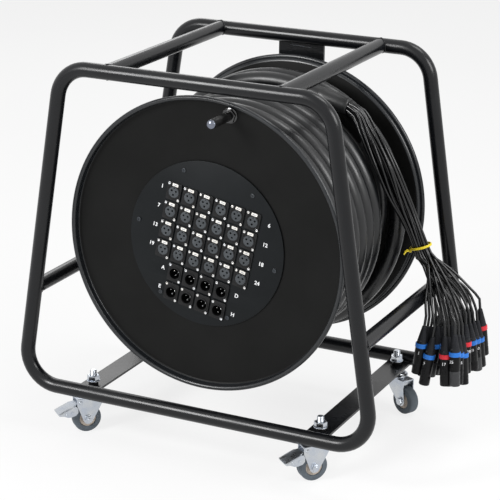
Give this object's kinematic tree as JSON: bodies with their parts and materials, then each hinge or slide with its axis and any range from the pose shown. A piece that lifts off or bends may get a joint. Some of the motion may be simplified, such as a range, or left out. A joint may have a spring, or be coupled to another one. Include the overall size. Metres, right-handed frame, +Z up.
{
  "type": "multicore cable drum",
  "caption": "Cable reel in a tube stand on swivel castors, with a round connector panel, a crank handle and a multicore cable that fans out to thin leads.",
  "frame": {"origin": "middle of the object's box without the loose cord, on the floor under the castors", "axes": "+Z up, the connector panel looks along -Y, +X to its right seen from the front"},
  "size_m": [0.7186, 0.4528, 0.66],
  "materials": {
    "tube_black": "satin black powder coat",
    "sheet_black": "fine textured black powder coat",
    "panel_black": "satin black paint with sockets riveted in",
    "zinc": "bright zinc plate",
    "steel": "turned steel",
    "tyre_grey": "matt grey rubber",
    "wheel_cream": "matt cream plastic",
    "grip_black": "matt black",
    "cable_black": "matt black cable sheath",
    "thin_cable_black": "matt black thin cable sheath",
    "tie_yellow": "yellow cable tie",
    "connector_black": "black connector shells with grey boots"
  },
  "bodies": {
    "stand": {"front_hoop": "tube_black", "rear_hoop": "tube_black", "top_tube_left": "tube_black", "top_tube_right": "tube_black", "side_tube_left": "tube_black", "side_tube_right": "tube_black", "base_rail_left": "tube_black", "base_rail_right": "tube_black", "rear_spine": "tube_black", "spindle": "steel", "spindle_nut_front": "zinc", "spindle_nut_rear": "zinc", "castor_top_front_left": "zinc", "castor_top_front_right": "zinc", "castor_top_rear_left": "zinc", "castor_top_rear_right": "zinc", "castor_nut_front_left": "zinc", "castor_nut_front_right": "zinc", "castor_nut_rear_left": "zinc", "castor_nut_rear_right": "zinc", "outer_turns": "cable_black", "fan_out_sleeve": "cable_black", "cable_bundle": "thin_cable_black", "bundle_tie": "tie_yellow", "thin_cables": "thin_cable_black", "cable_connectors_1": "connector_black", "cable_connectors_2": "connector_black", "cable_connectors_3": "connector_black", "cable_connectors_4": "connector_black"},
    "drum": {"front_flange": "sheet_black", "rear_flange": "sheet_black", "drum_barrel": "sheet_black", "hub_tube": "sheet_black", "bearing_front": "steel", "bearing_rear": "steel", "connector_panel": "panel_black", "crank_base_nut": "tube_black", "crank_back_nut": "zinc", "crank_bolt": "steel", "cable_core": "cable_black", "cable_winding": "cable_black"},
    "crank_grip": {"crank_grip": "grip_black"},
    "castor_front_left": {"castor_fork_front_left": "zinc", "axle_bolt_front_left": "zinc"},
    "wheel_front_left": {"tyre_front_left": "tyre_grey", "wheel_centre_front_left": "wheel_cream"},
    "pedal_front_left": {"brake_pedal_front_left": "zinc"},
    "castor_front_right": {"castor_fork_front_right": "zinc", "axle_bolt_front_right": "zinc"},
    "wheel_front_right": {"tyre_front_right": "tyre_grey", "wheel_centre_front_right": "wheel_cream"},
    "pedal_front_right": {"brake_pedal_front_right": "zinc"},
    "castor_rear_left": {"castor_fork_rear_left": "zinc", "axle_bolt_rear_left": "zinc"},
    "wheel_rear_left": {"tyre_rear_left": "tyre_grey", "wheel_centre_rear_left": "wheel_cream"},
    "castor_rear_right": {"castor_fork_rear_right": "zinc", "axle_bolt_rear_right": "zinc"},
    "wheel_rear_right": {"tyre_rear_right": "tyre_grey", "wheel_centre_rear_right": "wheel_cream"}
  },
  "joints": [
    {"name": "drum_spin", "type": "hinge", "parent": "stand", "child": "drum", "pos_m": [0, -0.00747, 0.3675], "axis": [0, -1, 0], "continuous": true},
    {"name": "crank_grip_spin", "type": "hinge", "parent": "drum", "child": "crank_grip", "pos_m": [0.041, -0.18, 0.58873], "axis": [0, -1, 0], "continuous": true},
    {"name": "castor_swivel_front_left", "type": "hinge", "parent": "stand", "child": "castor_front_left", "pos_m": [-0.214, -0.16348, 0.06], "axis": [0, 0, 1], "continuous": true},
    {"name": "wheel_spin_front_left", "type": "hinge", "parent": "castor_front_left", "child": "wheel_front_left", "pos_m": [-0.22318, -0.17404, 0.02452], "axis": [0.7547, -0.6561, 0], "continuous": true},
    {"name": "brake_pedal_front_left", "type": "hinge", "parent": "castor_front_left", "child": "pedal_front_left", "pos_m": [-0.23171, -0.18385, 0.056], "axis": [-0.7547, 0.6561, 0], "range_deg": [0, 20]},
    {"name": "castor_swivel_front_right", "type": "hinge", "parent": "stand", "child": "castor_front_right", "pos_m": [0.214, -0.16348, 0.06], "axis": [0, 0, 1], "continuous": true},
    {"name": "wheel_spin_front_right", "type": "hinge", "parent": "castor_front_right", "child": "wheel_front_right", "pos_m": [0.20482, -0.17404, 0.02452], "axis": [0.7547, -0.6561, 0], "continuous": true},
    {"name": "brake_pedal_front_right", "type": "hinge", "parent": "castor_front_right", "child": "pedal_front_right", "pos_m": [0.19629, -0.18385, 0.056], "axis": [-0.7547, 0.6561, 0], "range_deg": [0, 20]},
    {"name": "castor_swivel_rear_left", "type": "hinge", "parent": "stand", "child": "castor_rear_left", "pos_m": [-0.214, 0.16652, 0.06], "axis": [0, 0, 1], "continuous": true},
    {"name": "wheel_spin_rear_left", "type": "hinge", "parent": "castor_rear_left", "child": "wheel_rear_left", "pos_m": [-0.23938, 0.15469, 0.02452], "axis": [0.4226, -0.9063, 0], "continuous": true},
    {"name": "castor_swivel_rear_right", "type": "hinge", "parent": "stand", "child": "castor_rear_right", "pos_m": [0.214, 0.16652, 0.06], "axis": [0, 0, 1], "continuous": true},
    {"name": "wheel_spin_rear_right", "type": "hinge", "parent": "castor_rear_right", "child": "wheel_rear_right", "pos_m": [0.23895, 0.15381, 0.02452], "axis": [0.454, 0.891, 0], "continuous": true}
  ]
}
